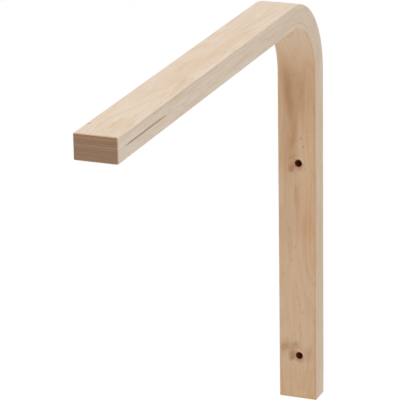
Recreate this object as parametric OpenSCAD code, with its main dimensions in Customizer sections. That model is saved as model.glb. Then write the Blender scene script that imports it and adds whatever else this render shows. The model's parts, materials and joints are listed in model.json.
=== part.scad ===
// Bent shelf bracket: one strip of glued veneers, pressed round a mould into a
// right angle. The long arm carries the shelf, the leg is screwed to the wall.
// The wall face is the plane y = 0 and the arm reaches towards -Y. The origin
// lies on the wall face, midway between the two screw holes.

/* [Bracket] */
// Height of the leg, from its foot to the top of the arm
leg_h = 240; // [200:1:400]
// Reach of the arm, from the wall face to its tip
arm_l = 280; // [150:1:450]
// Width of the strip
strip_w = 22; // [16:0.5:60]
// Thickness of the glued veneers
strip_t = 13; // [8:0.5:25]
// Radius of the bend on its outside
bend_r = 48; // [30:1:90]
// Radius of the sanded edges
edge_r = 0.6; // [0.3:0.1:3]

/* [Screw holes] */
// Diameter of a screw hole
hole_d = 4; // [3:0.1:6]
// Diameter of a countersink at the leg's front face
sink_d = 9.4; // [7:0.1:12]
// Angle of the countersinks, from side to side
sink_angle = 90; // [60:1:120]
// Height of the lower hole above the foot
low_hole_h = 25; // [15:1:60]
// Distance between the two holes
hole_gap = 115; // [50:1:150]

/* [Hidden] */
$fn = 96;

// how far a cutter runs past the face that it cuts
past = 1;
quarter_turn = 90;
foot_z = -(low_hole_h + hole_gap / 2);
top_z = foot_z + leg_h;
bend_z = top_z - bend_r;
sink_depth = (sink_d - hole_d) / 2 / tan(sink_angle / 2);

// The strip's section with its long edges rounded. X runs through the
// thickness from 0, and Y across the width.
module section() {
    translate([edge_r, -strip_w / 2])
        square([strip_t - 2 * edge_r, strip_w]);
    translate([0, edge_r - strip_w / 2])
        square([strip_t, strip_w - 2 * edge_r]);
    for (x = [edge_r, strip_t - edge_r], side = [-1, 1])
        translate([x, side * (strip_w / 2 - edge_r)])
            circle(edge_r);
}

// A straight run of the strip along +Z, its wall side at y = 0
module straight(run) {
    linear_extrude(run)
        rotate(-quarter_turn)
            section();
}

// The quarter bend, from the top of the leg to the root of the arm
module bend() {
    translate([0, -bend_r, bend_z])
        rotate([quarter_turn, 0, quarter_turn])
            rotate_extrude(angle = quarter_turn)
                translate([bend_r - strip_t, 0])
                    section();
}

// Cutter that rounds one edge of a cut end. The edge runs along Z through the
// origin, and the wood lies towards -X and -Y of it.
module edge_cutter(edge_l) {
    translate([-edge_r, -edge_r])
        linear_extrude(edge_l + 2 * past, center = true)
            difference() {
                square(edge_r + past);
                circle(edge_r);
            }
}

// Cutters for the four edges of a cut end. The end faces -Z at z = 0, and the
// strip stands on it as straight() does.
module end_cutters() {
    translate([0, -strip_t / 2, 0])
        for (side = [0, 1])
            rotate(side * 2 * quarter_turn) {
                translate([strip_w / 2, 0, 0])
                    rotate([quarter_turn, quarter_turn, 0])
                        edge_cutter(strip_t);
                translate([0, strip_t / 2, 0])
                    rotate([0, quarter_turn, 0])
                        edge_cutter(strip_w);
            }
}

// A straight run that starts at z = 0 with a cut and sanded end
module ended_run(run) {
    difference() {
        straight(run);
        end_cutters();
    }
}

// A countersunk hole through the leg, its axis along Y through the origin
module screw_hole() {
    rotate([quarter_turn, 0, 0]) {
        translate([0, 0, -past])
            cylinder(d = hole_d, h = strip_t + 2 * past);
        translate([0, 0, strip_t - sink_depth])
            cylinder(
                d1 = hole_d,
                d2 = sink_d + 2 * past * tan(sink_angle / 2),
                h = sink_depth + past
            );
    }
}

// Leg, bend and arm in one piece
module bracket() {
    color("burlywood")
        difference() {
            union() {
                translate([0, 0, foot_z])
                    ended_run(leg_h - bend_r);
                bend();
                translate([0, -arm_l, top_z])
                    rotate([quarter_turn, 0, 2 * quarter_turn])
                        ended_run(arm_l - bend_r);
            }
            for (z = [-hole_gap / 2, hole_gap / 2])
                translate([0, 0, z])
                    screw_hole();
        }
}

bracket();
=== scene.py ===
"""A bentwood shelf bracket: eleven birch veneers glued and pressed round a mould into a right angle, then
sawn, sanded and clear lacquered. Two countersunk holes in the leg take the wall screws."""

import json
import math

import bmesh
import bpy
from mathutils import Matrix, Vector


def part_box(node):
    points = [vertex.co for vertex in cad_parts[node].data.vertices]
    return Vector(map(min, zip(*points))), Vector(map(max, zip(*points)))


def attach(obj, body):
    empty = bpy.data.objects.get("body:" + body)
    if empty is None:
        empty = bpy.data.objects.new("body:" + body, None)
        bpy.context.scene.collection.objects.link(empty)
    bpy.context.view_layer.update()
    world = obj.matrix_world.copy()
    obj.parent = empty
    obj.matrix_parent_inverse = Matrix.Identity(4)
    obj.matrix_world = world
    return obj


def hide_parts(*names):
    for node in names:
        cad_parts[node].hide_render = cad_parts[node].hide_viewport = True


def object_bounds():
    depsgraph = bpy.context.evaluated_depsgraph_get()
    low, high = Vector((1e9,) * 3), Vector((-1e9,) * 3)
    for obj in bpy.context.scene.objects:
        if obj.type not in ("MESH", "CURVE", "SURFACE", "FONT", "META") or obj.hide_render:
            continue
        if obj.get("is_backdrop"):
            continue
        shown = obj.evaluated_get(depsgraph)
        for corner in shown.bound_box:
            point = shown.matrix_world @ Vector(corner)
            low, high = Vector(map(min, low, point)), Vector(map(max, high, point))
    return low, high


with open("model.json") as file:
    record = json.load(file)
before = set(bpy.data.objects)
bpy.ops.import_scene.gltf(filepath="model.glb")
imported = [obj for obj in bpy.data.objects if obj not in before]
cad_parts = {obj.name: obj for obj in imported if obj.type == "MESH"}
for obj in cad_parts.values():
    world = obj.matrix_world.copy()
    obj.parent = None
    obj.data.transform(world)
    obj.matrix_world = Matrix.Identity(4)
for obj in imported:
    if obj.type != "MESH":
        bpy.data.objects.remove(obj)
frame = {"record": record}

cad_low, cad_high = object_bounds()

MM = 0.001
QUARTER_TURN = math.radians(90)

# the bracket's own sizes, from the frame
low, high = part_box("bracket")
STRIP_W = high.x - low.x
WALL_Y = high.y
TIP_Y = low.y
FOOT_Z = low.z
TOP_Z = high.z
MOUNTS = {mount["name"]: mount for mount in frame["record"]["mounts"]}
SCREW_HOLES = MOUNTS["screw_holes"]
HOLE_R = SCREW_HOLES["dims"]["hole_r_mm"] * MM
HOLE_GAP = SCREW_HOLES["dims"]["spacing_y_mm"] * MM
HOLE_HEIGHTS = [SCREW_HOLES["pos_m"][2] + side * HOLE_GAP / 2 for side in (-1, 1)]

# sizes that the frame doesn't name
STRIP_T = 13 * MM
BEND_R = 48 * MM
EDGE_R = 0.6 * MM
SINK_R = 4.7 * MM
PLIES = 11
PLY_T = STRIP_T / PLIES
GLUE_GROOVE_W = 0.30 * MM
GLUE_GROOVE_DEPTH = 0.006 * MM

# how finely the strip is divided
EDGE_STEPS = 5
LEG_STEPS = 48
BEND_STEPS = 32
ARM_STEPS = 58
HOLE_SIDES = 64

# how far inside a rounded edge the supporting line runs, how far a hole's cutter stands proud of the leg,
# and the turn between faces from which an edge is shaded sharp
SUPPORT_IN = 0.2 * MM
CUTTER_PROUD = 1 * MM
SHARP_TURN = math.radians(30)

# places closer than this count as one, and verts closer than this are merged
SAME_PLACE = 0.01 * MM
MERGE = 0.002 * MM

# the bend's centre, and lengths along the unbent strip
BEND_Z = TOP_Z - BEND_R
BEND_Y = WALL_Y - BEND_R
BEND_MID_R = BEND_R - STRIP_T / 2
BEND_START = BEND_Z - FOOT_Z
BEND_END = BEND_START + BEND_MID_R * QUARTER_TURN
STRIP_L = BEND_END + BEND_Y - TIP_Y

# a gap left in the middle veneer, which opens on the arm's side near its tip: distances are from the tip
GAP_FROM = 8 * MM
GAP_TO = 56 * MM
GAP_DEPTH = 0.3 * MM
GAP_TAPER = ((8 * MM, 0.15), (12 * MM, 0.6), (16 * MM, 0.9), (56 * MM, 0.5))

# colours of the lacquered wood, with painted shade in the colours of the bores and of the gap
OUTER_FACE = "e8d6c2"
INNER_FACE = "ddbc99"
EDGE_PALE = "decebb"
EDGE_DARK = "dacab8"
END_PALE = "ac896c"
END_DARK = "9f7c5f"
LATE_WOOD = "fbf7f2"
FIBRE = "fbf8f4"
CLOUD = "faf4ed"
PORE = "e4d6c7"
GLUE = "f4eee7"
END_GLUE = "ece2d7"
END_CELLS = "eadfd4"
EASED_END = "f8e8d4"
SINK_GRAIN = "ebc7a8"
# the bores' raw wood, painted dark with shade for the little light that reaches into them
BORE_WOOD_AND_SHADE = "90500f"
# the gap's colour, grime with painted shade that deepens the shallow groove
GAP_GRIME_AND_SHADE = "bfab96"

# patterns in the wood: the width and length of one streak in millimetres, its detail and its roughness.
# Pores and fibres are drawn several times coarser than the real ones so that they show
PATTERNS = {
    "figure": (15, 110, 1.5, 0.4),
    "fibre": (0.8, 30, 5.0, 0.6),
    "pore": (0.35, 4.5, 2.0, 0.5),
    "cloud": (15, 45, 2.5, 0.5),
    "end cells": (0.45, 5, 3.0, 0.6),
}

# how far apart the veneers may have lain in the log, in millimetres. Its growth rings are the contours of
# the figure, so many from its lowest to its highest, and late wood starts and peaks at these shares of one
LOG_SPREAD = (61.0, 397.0, 53.0)
RINGS = 10.0
LATE_START = 0.3
LATE_PEAK = 0.9

# where each colour is still full and where it is gone: in millimetres from a face, from a sawn end for two
# of them, outside a countersink and outside a bore, and in veneers from a glue line
FACE_FADE = (0.05, 0.4)
END_FADE = (0.04, 0.3)
EASED_FADE = (0.3, 1.6)
SINK_FADE = (0.05, 0.3)
BORE_FADE = (0.02, 0.25)
GLUE_FADE = (0.04, 0.2)

# how far below the leg's face the colours of the holes start, and where they are full, in millimetres
RIM_FADE = (0.02, 0.25)

# grime and painted shade in the gap, darker than the shallow groove would shade itself: its half sizes into
# the edge and up through the strip in millimetres, and the shares of them, squared, at which it is still
# full and gone
GRIME_AND_SHADE_IN = 0.8
GRIME_AND_SHADE_UP = 0.7
GRIME_AND_SHADE_FADE = (0.45, 1.05)

# how far the marks' outlines wander across, along and down in millimetres, and how often in a millimetre
WANDER = (1.8, 8.0, 0.0)
WANDER_OFTEN = 0.22

# marks in the wood, and a few patches of painted shade and painted light. Each has its middle and its half
# sizes across, along and down through the strip in millimetres, its lean from the grain in degrees, and its
# colour, which darkens what is under it
MARKS = (
    # the inner veneer is smoky below the bend, with a darker streak that wanders down it
    ((0, 184, 13), (24, 40, 1), 0, "f5f1ec"),
    ((-3.5, 186, 13), (8, 30, 1), 8, "f2e9dd"),
    ((-4.2, 150, 13), (8, 44, 1), 0, "eee4d7"),
    ((-6.4, 187, 13), (4.6, 20, 1), 13, "f3ebe2"),
    ((-3.4, 170, 13), (4.0, 20, 1), 11, "f4ece3"),
    ((-2.2, 155, 13), (3.0, 16, 1), -8, "f3eae0"),
    ((2.8, 180, 13), (3.6, 18, 1), 0, "f4ece2"),
    # and greyer round the bend: painted light, for the white light that the floor bounces up onto it
    ((0, 228, 13), (40, 44, 1), 0, "ecf2fa"),
    # an arch of late wood, with a rosy patch below it and a duller one beside that
    ((0.3, 119, 13), (3.6, 13, 1), 0, "f4ece3"),
    ((-5, 106, 13), (10, 24, 1), 0, "f6f3f1"),
    ((5.5, 104, 13), (9, 17, 1), 0, "f8e9de"),
    ((-0.7, 124, 13), (0.5, 10, 1), 0, "e9dccf"),
    # brown bands across the leg by the lower screw hole, and a duller foot
    ((-5, 31, 13), (11, 8, 1), 0, "efe8e0"),
    ((-8, 30, 13), (6.5, 2.4, 1), 0, "f3e9dd"),
    ((-1.5, 32.5, 13), (3.6, 2.8, 1), 0, "e9dbcc"),
    ((6, 28, 13), (8, 7, 1), 0, "f0e9e3"),
    ((0, 4, 13), (30, 26, 1), 0, "fdfbf4"),
    # the countersinks are darkened on their left and at the top: painted shade, for where their walls face
    # away from the light
    ((-1.6, 142, 12.2), (4.8, 6.0, 3.2), 0, "d0c2b4"),
    ((-3.4, 138, 12.2), (3.0, 4.4, 3.2), 0, "dfc8bc"),
    ((-2.0, 27, 12.2), (4.6, 5.6, 3.2), 0, "dcd0c1"),
    ((-3.6, 24.8, 12.2), (2.8, 4.0, 3.2), 0, "d9cebf"),
    # pin flecks
    ((3.8, 151, 13), (0.6, 1.2, 1), 0, "bfa288"),
    ((2.5, 156, 13), (0.5, 1.4, 1), 0, "dcc8b4"),
    ((-1.5, 90, 13), (0.5, 2.2, 1), 0, "dbc7b2"),
    ((-3.6, 84, 13), (0.5, 2.0, 1), 0, "dbc7b2"),
    # the leg's right edge is duller than the arm's
    ((11, 80, 6), (2, 330, 14), 0, "eee9df"),
    ((11, 90, 12), (2, 260, 5), 0, "fff4e6"),
    # the second veneer is duller along the arm
    ((11, 400, 1.4), (2, 120, 0.9), 0, "f4efe9"),
    # a peach cloud and a nick on the outer veneer
    ((-1, 366, 0), (13, 30, 1), 0, "fffaf4"),
    ((-9.6, 474, 0), (0.9, 1.6, 1), 0, "b99f86"),
)

# the view: angles in degrees, the lens in millimetres and the rest in metres
VIEW_AZIMUTH = 22.068
VIEW_ELEVATION = 19.548
VIEW_ROLL = -1.059
VIEW_LENS = 234.52
VIEW_DISTANCE = 1.3315
AIM_RIGHT = -0.0067
AIM_UP = 0.0397

# the studio, in metres and degrees: a wide white floor well below the bracket, a surround that is bright at
# the horizon and dimmer above it, and one soft lamp overhead
FLOOR_W = 40
FLOOR_DROP = 1.5
SKY_LOW = 1.0
SKY_HIGH = 0.3
SKY_FADE = 0.3
LAMP_POWER = 2.36
LAMP_SPREAD = 35
LAMP_TILT = 13


def select(piece, kind, test):
    """In edit mode, selects only the verts or the faces that pass the test. The test is given the place of a
    vert, or the middle and the normal of a face."""
    bpy.ops.mesh.select_mode(type={"verts": "VERT", "faces": "FACE"}[kind])
    bpy.ops.mesh.select_all(action="DESELECT")
    mesh = bmesh.from_edit_mesh(piece.data)
    for item in getattr(mesh, kind):
        if kind == "verts":
            item.select_set(test(item.co))
        else:
            item.select_set(test(item.calc_center_median(), item.normal))
    mesh.select_flush_mode()
    bmesh.update_edit_mesh(piece.data)


def push(x=0.0, y=0.0, z=0.0):
    """Extrudes what is selected, by a straight move."""
    bpy.ops.mesh.extrude_region_move(TRANSFORM_OT_translate={"value": (x, y, z)})


def near(a, b):
    return abs(a - b) < SAME_PLACE


def sanded_section():
    """The strip's section at the foot: rounded corners, and a fine groove at each end of every glue line."""
    bpy.ops.mesh.primitive_plane_add(size=1, location=(0, WALL_Y - STRIP_T / 2, FOOT_Z))
    strip = bpy.context.object
    strip.name = "veneer_strip"
    strip.scale = (STRIP_W, STRIP_T, 1)
    bpy.ops.object.transform_apply(location=True, rotation=True, scale=True)
    bpy.ops.object.mode_set(mode="EDIT")
    bpy.ops.mesh.bevel(offset=EDGE_R, segments=EDGE_STEPS, affect="VERTICES")
    support = STRIP_W / 2 - EDGE_R - SUPPORT_IN
    for x in (-support, 0, support):
        bpy.ops.mesh.select_all(action="SELECT")
        bpy.ops.mesh.bisect(plane_co=(x, 0, FOOT_Z), plane_no=(1, 0, 0))
    glue_lines = [WALL_Y - ply * PLY_T for ply in range(1, PLIES)]
    for line in glue_lines:
        for side in (-1, 0, 1):
            y = line + side * GLUE_GROOVE_W / 2
            bpy.ops.mesh.select_all(action="SELECT")
            bpy.ops.mesh.bisect(plane_co=(0, y, FOOT_Z), plane_no=(0, 1, 0))
    for side in (-1, 1):
        edge_x = side * STRIP_W / 2
        select(
            strip,
            "verts",
            lambda co: near(co.x, edge_x) and any(near(co.y, line) for line in glue_lines),
        )
        bpy.ops.transform.translate(value=(-side * GLUE_GROOVE_DEPTH, 0, 0))
    return strip


def run_strip(strip):
    """Carries the section up the leg, round the bend and out along the arm."""
    select(strip, "faces", lambda co, normal: True)
    for _ in range(LEG_STEPS):
        push(z=(BEND_Z - FOOT_Z) / LEG_STEPS)
    bpy.ops.mesh.spin(
        steps=BEND_STEPS, angle=QUARTER_TURN, center=(0, BEND_Y, BEND_Z), axis=(-1, 0, 0)
    )
    for _ in range(ARM_STEPS):
        push(y=(TIP_Y - BEND_Y) / ARM_STEPS)
    bpy.ops.mesh.select_all(action="SELECT")
    bpy.ops.mesh.remove_doubles(threshold=MERGE)
    bpy.ops.mesh.normals_make_consistent(inside=False)


def ease_ends(strip):
    """Sands the edges of the sawn tip and of the sawn foot."""
    for is_end in (lambda middle: near(middle.y, TIP_Y), lambda middle: near(middle.z, FOOT_Z)):
        select(strip, "faces", lambda middle, normal: is_end(middle))
        bpy.ops.mesh.region_to_loop()
        bpy.ops.mesh.bevel(offset=EDGE_R, segments=EDGE_STEPS, affect="EDGES")


def open_gap(strip):
    """Sinks the gap into the middle veneer's right edge, and narrows its ends."""
    middle_z = TOP_Z - STRIP_T / 2
    select(
        strip,
        "faces",
        lambda middle, normal: near(middle.x, STRIP_W / 2)
        and near(middle.z, middle_z)
        and GAP_FROM < middle.y - TIP_Y < GAP_TO,
    )
    push(x=-GAP_DEPTH)
    for from_tip, opening in GAP_TAPER:
        y = TIP_Y + from_tip
        select(
            strip,
            "verts",
            lambda co: near(co.y, y)
            and co.x > STRIP_W / 2 - GAP_DEPTH - SAME_PLACE
            and abs(co.z - middle_z) < PLY_T / 2 - GLUE_GROOVE_W / 4,
        )
        bpy.ops.transform.resize(value=(1, 1, opening), center_override=(0, y, middle_z))


def screw_cutter(height):
    """The solid that one drilled and countersunk hole takes out of the leg."""
    radius = SINK_R
    bpy.ops.mesh.primitive_circle_add(
        vertices=HOLE_SIDES,
        radius=radius,
        fill_type="NGON",
        location=(0, WALL_Y - STRIP_T - CUTTER_PROUD, height),
        rotation=(QUARTER_TURN, 0, 0),
    )
    cutter = bpy.context.object
    bpy.ops.object.transform_apply(location=True, rotation=True, scale=True)
    bpy.ops.object.mode_set(mode="EDIT")
    steps = ((CUTTER_PROUD, SINK_R), (SINK_R - HOLE_R, HOLE_R), (STRIP_T, HOLE_R))
    for depth, next_radius in steps:
        push(y=depth)
        bpy.ops.transform.resize(value=(next_radius / radius, 1, next_radius / radius))
        radius = next_radius
    bpy.ops.mesh.select_all(action="SELECT")
    bpy.ops.mesh.normals_make_consistent(inside=False)
    bpy.ops.object.mode_set(mode="OBJECT")
    return cutter


def drill(strip):
    """Cuts the two countersunk screw holes through the leg."""
    for height in HOLE_HEIGHTS:
        cutter = screw_cutter(height)
        cut = strip.modifiers.new("screw_hole", "BOOLEAN")
        cut.operation = "DIFFERENCE"
        cut.solver = "EXACT"
        cut.object = cutter
        bpy.context.view_layer.objects.active = strip
        bpy.ops.object.modifier_apply(modifier=cut.name)
        bpy.data.objects.remove(cutter)


def place_in_strip(point):
    """Where a point of the bracket lies in the flat strip, in millimetres: across it, along it from the
    foot, and down through the veneers from the wall side."""
    if point.z <= BEND_Z:
        along = point.z - FOOT_Z
        depth = WALL_Y - point.y
    elif point.y < BEND_Y:
        along = BEND_END + BEND_Y - point.y
        depth = TOP_Z - point.z
    else:
        spoke = Vector((point.y - BEND_Y, point.z - BEND_Z))
        along = BEND_START + BEND_MID_R * math.atan2(spoke.y, spoke.x)
        depth = BEND_R - spoke.length
    return Vector((point.x, along, depth)) / MM


def mark_grain(strip):
    """Stores every point's place in the flat strip, so that the grain follows the bend."""
    grain = strip.data.attributes.new("strip_mm", "FLOAT_VECTOR", "POINT")
    for place, vertex in zip(grain.data, strip.data.vertices):
        place.vector = place_in_strip(vertex.co)


def linear(code):
    """A colour's sRGB hex code as linear light."""
    values = [int(code[i : i + 2], 16) / 255 for i in (0, 2, 4)]
    return [v / 12.92 if v <= 0.04045 else ((v + 0.055) / 1.055) ** 2.4 for v in values] + [1.0]


def add(tree, kind, inputs=None, **settings):
    """Adds a node with its settings. Each input is given a value, or the socket or node that feeds it."""
    node = tree.nodes.new(kind)
    for name, value in settings.items():
        setattr(node, name, value)
    for key, value in (inputs or {}).items():
        if isinstance(key, int):
            socket = node.inputs[key]
        else:
            socket = next(i for i in node.inputs if i.enabled and i.name == key)
        if isinstance(value, bpy.types.Node):
            value = next(o for o in value.outputs if o.enabled)
        if isinstance(value, bpy.types.NodeSocket):
            tree.links.new(value, socket)
        else:
            socket.default_value = value
    return node


# settings that many nodes share: a ramp with soft ends, a ramp that falls from 1 to 0, a colour that covers
# another and a colour that tints another
SOFT = {"interpolation_type": "SMOOTHSTEP"}
FALLING = {"To Min": 1.0, "To Max": 0.0}
COVER = {"data_type": "RGBA"}
TINT = {"data_type": "RGBA", "blend_type": "MULTIPLY"}


def find_veneer(tree, place, depth):
    """How many veneers down from the wall side a point is, a random value for its veneer, and its place in
    the log."""
    plies_down = add(tree, "ShaderNodeMath", {0: depth, 1: PLY_T / MM}, operation="DIVIDE")
    ply = add(tree, "ShaderNodeMath", {0: plies_down}, operation="FLOOR")
    ply = add(tree, "ShaderNodeClamp", {"Value": ply, "Min": 0.0, "Max": PLIES - 1.0})
    chance = add(tree, "ShaderNodeTexWhiteNoise", {"W": ply}, noise_dimensions="1D")
    in_log = add(
        tree,
        "ShaderNodeVectorMath",
        {0: chance.outputs["Color"], 1: LOG_SPREAD, 2: place},
        operation="MULTIPLY_ADD",
    )
    return plies_down, chance, in_log


def draw_patterns(tree, in_log):
    """The wood's patterns, drawn out along the grain."""
    noise = {}
    for name, (width, length, detail, rough) in PATTERNS.items():
        scale = (1 / width, 1 / length, 1 / width)
        drawn = add(tree, "ShaderNodeMapping", {"Vector": in_log, "Scale": scale})
        noise[name] = add(
            tree,
            "ShaderNodeTexNoise",
            {"Vector": drawn, "Scale": 1.0, "Detail": detail, "Roughness": rough},
        )
    return noise


def find_late_wood(tree, figure):
    """Growth rings: the contours of a slow pattern, which close into the long arches of peeled veneer."""
    field = add(tree, "ShaderNodeMath", {0: figure, 1: RINGS}, operation="MULTIPLY")
    ring = add(tree, "ShaderNodeMath", {0: field}, operation="FRACT")
    rise = add(
        tree,
        "ShaderNodeMapRange",
        {"Value": ring, "From Min": LATE_START, "From Max": LATE_PEAK},
        **SOFT,
    )
    fall = add(
        tree,
        "ShaderNodeMapRange",
        {"Value": ring, "From Min": LATE_PEAK, "From Max": 1.0, **FALLING},
        **SOFT,
    )
    return add(tree, "ShaderNodeMath", {0: rise, 1: fall}, operation="MULTIPLY")


def find_glue(tree, plies_down):
    """The glue lines, drawn wider than the real 0.1 mm so that they show."""
    line = add(tree, "ShaderNodeMath", {0: plies_down}, operation="ROUND")
    line = add(tree, "ShaderNodeClamp", {"Value": line, "Min": 1.0, "Max": PLIES - 1.0})
    off_line = add(tree, "ShaderNodeMath", {0: plies_down, 1: line}, operation="SUBTRACT")
    off_line = add(tree, "ShaderNodeMath", {0: off_line}, operation="ABSOLUTE")
    return add(
        tree,
        "ShaderNodeMapRange",
        {"Value": off_line, "From Min": GLUE_FADE[0], "From Max": GLUE_FADE[1], **FALLING},
        **SOFT,
    )


def colour_sides(tree, depth, chance, on_outer):
    """The sanded edges, with a shade for each veneer, and the two face veneers."""
    on_inner = add(
        tree,
        "ShaderNodeMapRange",
        {"Value": depth, "From Min": STRIP_T / MM - FACE_FADE[1], "From Max": STRIP_T / MM - FACE_FADE[0]},
        **SOFT,
    )
    colour = add(
        tree,
        "ShaderNodeMix",
        {"Factor": chance.outputs["Value"], "A": linear(EDGE_PALE), "B": linear(EDGE_DARK)},
        **COVER,
    )
    for amount, face in ((on_outer, OUTER_FACE), (on_inner, INNER_FACE)):
        colour = add(tree, "ShaderNodeMix", {"Factor": amount, "A": colour, "B": linear(face)}, **COVER)
    return colour


def tint_grain(tree, colour, noise):
    """Late wood, fibres, clouds and pores: each tint comes in between two levels of its pattern."""
    grain_tints = (
        (find_late_wood(tree, noise["figure"]), 0.0, 1.0, LATE_WOOD),
        (noise["fibre"], 0.4, 0.75, FIBRE),
        (noise["cloud"], 0.42, 0.72, CLOUD),
        (noise["pore"], 0.63, 0.74, PORE),
    )
    for pattern, start, end, tint in grain_tints:
        amount = add(
            tree,
            "ShaderNodeMapRange",
            {"Value": pattern, "From Min": start, "From Max": end},
            **SOFT,
        )
        colour = add(tree, "ShaderNodeMix", {"Factor": amount, "A": colour, "B": linear(tint)}, **TINT)
    return colour


def colour_ends(tree, colour, along, chance, end_cells, glue):
    """The sawn foot and tip, which show the brown ends of the cells, and the warmer wood beside them."""
    from_tip = add(tree, "ShaderNodeMath", {0: STRIP_L / MM, 1: along}, operation="SUBTRACT")
    from_end = add(tree, "ShaderNodeMath", {0: along, 1: from_tip}, operation="MINIMUM")
    on_end = add(
        tree,
        "ShaderNodeMapRange",
        {"Value": from_end, "From Min": END_FADE[0], "From Max": END_FADE[1], **FALLING},
        **SOFT,
    )
    by_end = add(
        tree,
        "ShaderNodeMapRange",
        {"Value": from_end, "From Min": EASED_FADE[0], "From Max": EASED_FADE[1], **FALLING},
        **SOFT,
    )
    cells = add(
        tree,
        "ShaderNodeMapRange",
        {"Value": end_cells, "From Min": 0.4, "From Max": 0.7},
        **SOFT,
    )
    end_grain = add(
        tree,
        "ShaderNodeMix",
        {"Factor": chance.outputs["Value"], "A": linear(END_PALE), "B": linear(END_DARK)},
        **COVER,
    )
    for amount, tint in ((cells, END_CELLS), (glue, END_GLUE)):
        end_grain = add(tree, "ShaderNodeMix", {"Factor": amount, "A": end_grain, "B": linear(tint)}, **TINT)
    colour = add(tree, "ShaderNodeMix", {"Factor": by_end, "A": colour, "B": linear(EASED_END)}, **TINT)
    return add(tree, "ShaderNodeMix", {"Factor": on_end, "A": colour, "B": end_grain}, **COVER)


def colour_holes(tree, colour, across, along, depth, on_outer):
    """The countersinks, which cut across the veneers, and the bores, whose raw wood is painted dark with
    shade inside. Returns the colour, and where the bores are."""
    offsets = []
    for height in HOLE_HEIGHTS:
        offset = add(tree, "ShaderNodeMath", {0: along, 1: (height - FOOT_Z) / MM}, operation="SUBTRACT")
        offsets.append(add(tree, "ShaderNodeMath", {0: offset}, operation="ABSOLUTE"))
    to_hole = add(tree, "ShaderNodeMath", {0: offsets[0], 1: offsets[1]}, operation="MINIMUM")
    off_axis = add(tree, "ShaderNodeCombineXYZ", {"X": across, "Y": to_hole})
    off_axis = add(tree, "ShaderNodeVectorMath", {0: off_axis}, operation="LENGTH").outputs["Value"]
    below_face = add(
        tree,
        "ShaderNodeMapRange",
        {
            "Value": depth,
            "From Min": STRIP_T / MM - RIM_FADE[1],
            "From Max": STRIP_T / MM - RIM_FADE[0],
            **FALLING,
        },
        **SOFT,
    )
    between_faces = add(tree, "ShaderNodeMath", {0: below_face, 1: on_outer}, operation="SUBTRACT")
    # the countersinks take the cut veneers' colour, the bores a raw wood colour with painted shade
    for radius, fade, grain in ((SINK_R, SINK_FADE, SINK_GRAIN), (HOLE_R, BORE_FADE, BORE_WOOD_AND_SHADE)):
        within = add(
            tree,
            "ShaderNodeMapRange",
            {
                "Value": off_axis,
                "From Min": radius / MM + fade[0],
                "From Max": radius / MM + fade[1],
                **FALLING,
            },
            **SOFT,
        )
        within = add(tree, "ShaderNodeMath", {0: within, 1: between_faces}, operation="MULTIPLY")
        colour = add(tree, "ShaderNodeMix", {"Factor": within, "A": colour, "B": linear(grain)}, **COVER)
    in_bore = within
    return colour, in_bore


def tint_marks(tree, colour, place):
    """The marks, with their outlines roughened along the grain."""
    wander = add(
        tree,
        "ShaderNodeTexNoise",
        {"Vector": place, "Scale": WANDER_OFTEN, "Detail": 3.0, "Roughness": 0.6},
    )
    wander = add(
        tree,
        "ShaderNodeVectorMath",
        {0: wander.outputs["Color"], 1: WANDER, 2: [-reach / 2 for reach in WANDER]},
        operation="MULTIPLY_ADD",
    )
    wandering = add(tree, "ShaderNodeVectorMath", {0: place, 1: wander}, operation="ADD")
    for middle, half_sizes, lean, tint in MARKS:
        turn = (0, 0, math.radians(lean))
        inside = add(
            tree,
            "ShaderNodeMapping",
            {"Vector": wandering, "Location": middle, "Rotation": turn, "Scale": half_sizes},
            vector_type="TEXTURE",
        )
        off_middle = add(tree, "ShaderNodeVectorMath", {0: inside}, operation="LENGTH").outputs["Value"]
        amount = add(tree, "ShaderNodeMapRange", {"Value": off_middle, **FALLING}, **SOFT)
        colour = add(tree, "ShaderNodeMix", {"Factor": amount, "A": colour, "B": linear(tint)}, **TINT)
    return colour


def colour_gap(tree, colour, place):
    """Grime and painted shade in the gap, of a boxier outline than an oval."""
    middle = (STRIP_W / 2 / MM, (STRIP_L - (GAP_FROM + GAP_TO) / 2) / MM, STRIP_T / 2 / MM)
    half_sizes = (GRIME_AND_SHADE_IN, (GAP_TO - GAP_FROM) / 2 / MM, GRIME_AND_SHADE_UP)
    inside = add(
        tree,
        "ShaderNodeMapping",
        {"Vector": place, "Location": middle, "Scale": half_sizes},
        vector_type="TEXTURE",
    )
    inside = add(tree, "ShaderNodeVectorMath", {0: inside, 1: inside}, operation="MULTIPLY")
    off_middle = add(tree, "ShaderNodeVectorMath", {0: inside}, operation="LENGTH").outputs["Value"]
    amount = add(
        tree,
        "ShaderNodeMapRange",
        {"Value": off_middle, "From Min": GRIME_AND_SHADE_FADE[0], "From Max": GRIME_AND_SHADE_FADE[1], **FALLING},
        **SOFT,
    )
    # grime and painted shade, fading out from the gap's middle
    return add(tree, "ShaderNodeMix", {"Factor": amount, "A": colour, "B": linear(GAP_GRIME_AND_SHADE)}, **COVER)


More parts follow.
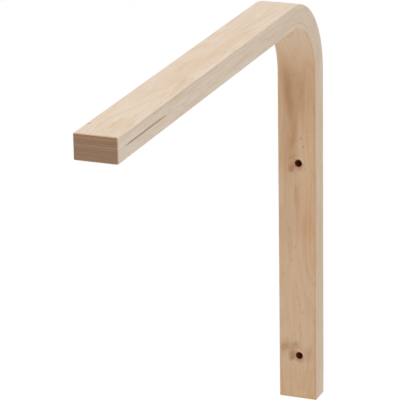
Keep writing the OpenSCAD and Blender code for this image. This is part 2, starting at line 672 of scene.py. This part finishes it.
def pressed_birch():
    """Birch veneer, form-pressed, sanded and clear lacquered: pale, softly clouded faces with a fine satin
    grain, faintly striped edges where the glue lines show, and browner sawn ends."""
    material = bpy.data.materials.new("form-pressed birch veneer, sanded and clear lacquered")
    material.use_nodes = True
    tree = material.node_tree
    tree.nodes.clear()

    place = add(tree, "ShaderNodeAttribute", attribute_name="strip_mm").outputs["Vector"]
    across, along, depth = add(tree, "ShaderNodeSeparateXYZ", {"Vector": place}).outputs
    plies_down, chance, in_log = find_veneer(tree, place, depth)
    noise = draw_patterns(tree, in_log)
    glue = find_glue(tree, plies_down)
    on_outer = add(
        tree,
        "ShaderNodeMapRange",
        {"Value": depth, "From Min": FACE_FADE[0], "From Max": FACE_FADE[1], **FALLING},
        **SOFT,
    )

    colour = colour_sides(tree, depth, chance, on_outer)
    colour = tint_grain(tree, colour, noise)
    colour = add(tree, "ShaderNodeMix", {"Factor": glue, "A": colour, "B": linear(GLUE)}, **TINT)
    colour = colour_ends(tree, colour, along, chance, noise["end cells"], glue)
    colour, in_bore = colour_holes(tree, colour, across, along, depth, on_outer)
    colour = tint_marks(tree, colour, place)
    colour = colour_gap(tree, colour, place)

    # satin lacquer, a little rougher along the fibres and fully rough in the bores
    sheen = add(
        tree,
        "ShaderNodeMapRange",
        {"Value": noise["fibre"], "From Min": 0.3, "From Max": 0.7, "To Min": 0.48, "To Max": 0.56},
    )
    sheen = add(tree, "ShaderNodeMath", {0: sheen, 1: in_bore}, operation="MAXIMUM")
    height = add(tree, "ShaderNodeMath", {0: noise["fibre"], 1: noise["pore"]}, operation="SUBTRACT")
    bump = add(tree, "ShaderNodeBump", {"Strength": 0.2, "Distance": 0.05 * MM, "Height": height})
    finish = add(
        tree,
        "ShaderNodeBsdfPrincipled",
        {"Base Color": colour, "Roughness": sheen, "IOR": 1.5, "Normal": bump},
    )
    add(tree, "ShaderNodeOutputMaterial", {"Surface": finish})
    return material


def studio_paper():
    """Matt white background paper: even and almost without shine."""
    material = bpy.data.materials.new("matt white background paper")
    material.use_nodes = True
    tree = material.node_tree
    tree.nodes.clear()
    finish = add(
        tree,
        "ShaderNodeBsdfPrincipled",
        {"Base Color": linear("fafafa"), "Roughness": 0.95, "Specular IOR Level": 0.05},
    )
    add(tree, "ShaderNodeOutputMaterial", {"Surface": finish})
    return material


def set_studio():
    """Lays the floor, and hangs the surround and the lamp."""
    bpy.ops.object.select_all(action="DESELECT")
    bpy.ops.mesh.primitive_plane_add(size=FLOOR_W, location=(0, 0, FOOT_Z - FLOOR_DROP))
    floor = bpy.context.object
    floor.name = "studio_floor"
    floor.data.materials.append(studio_paper())
    floor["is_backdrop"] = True

    world = bpy.data.worlds.new("pale studio surround")
    bpy.context.scene.world = world
    world.use_nodes = True
    tree = world.node_tree
    tree.nodes.clear()
    direction = add(tree, "ShaderNodeTexCoord").outputs["Generated"]
    rise = add(tree, "ShaderNodeSeparateXYZ", {"Vector": direction}).outputs["Z"]
    strength = add(
        tree,
        "ShaderNodeMapRange",
        {"Value": rise, "From Max": SKY_FADE, "To Min": SKY_LOW, "To Max": SKY_HIGH},
        **SOFT,
    )
    surround = add(tree, "ShaderNodeBackground", {"Color": (1, 1, 1, 1), "Strength": strength})
    add(tree, "ShaderNodeOutputWorld", {"Surface": surround})

    light = bpy.data.lights.new("overhead_softbox", "SUN")
    light.energy = LAMP_POWER
    light.angle = math.radians(LAMP_SPREAD)
    lamp = bpy.data.objects.new("overhead_softbox", light)
    lamp.rotation_euler = (0, math.radians(LAMP_TILT), 0)
    bpy.context.collection.objects.link(lamp)


def set_camera(centre):
    """Looks at the bracket from its right and a little above, through a long lens."""
    azimuth = math.radians(VIEW_AZIMUTH)
    elevation = math.radians(VIEW_ELEVATION)
    roll = math.radians(VIEW_ROLL)
    level = Vector((math.cos(azimuth), math.sin(azimuth), 0))
    back = Vector((math.sin(azimuth), -math.cos(azimuth), 0)) * math.cos(elevation)
    back.z = math.sin(elevation)
    upright = back.cross(level)
    right = math.cos(roll) * level + math.sin(roll) * upright
    up = math.cos(roll) * upright - math.sin(roll) * level

    data = bpy.data.cameras.new("camera")
    data.lens = VIEW_LENS
    data.sensor_width = 36
    data.clip_start = 0.05
    data.clip_end = 100
    camera = bpy.data.objects.new("camera", data)
    place = centre + AIM_RIGHT * right + AIM_UP * up + VIEW_DISTANCE * back
    turn = Matrix((right, up, back)).transposed()
    camera.matrix_world = Matrix.Translation(place) @ turn.to_4x4()
    bpy.context.collection.objects.link(camera)
    bpy.context.scene.camera = camera
    bpy.context.scene.view_settings.view_transform = "Standard"


bpy.ops.object.select_all(action="DESELECT")
strip = sanded_section()
run_strip(strip)
ease_ends(strip)
open_gap(strip)
bpy.ops.object.mode_set(mode="OBJECT")
drill(strip)
mark_grain(strip)
bpy.ops.object.shade_smooth_by_angle(angle=SHARP_TURN)
strip.data.materials.clear()
strip.data.materials.append(pressed_birch())
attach(strip, "root")
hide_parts("bracket")

set_studio()
set_camera((cad_low + cad_high) / 2)

low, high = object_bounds()
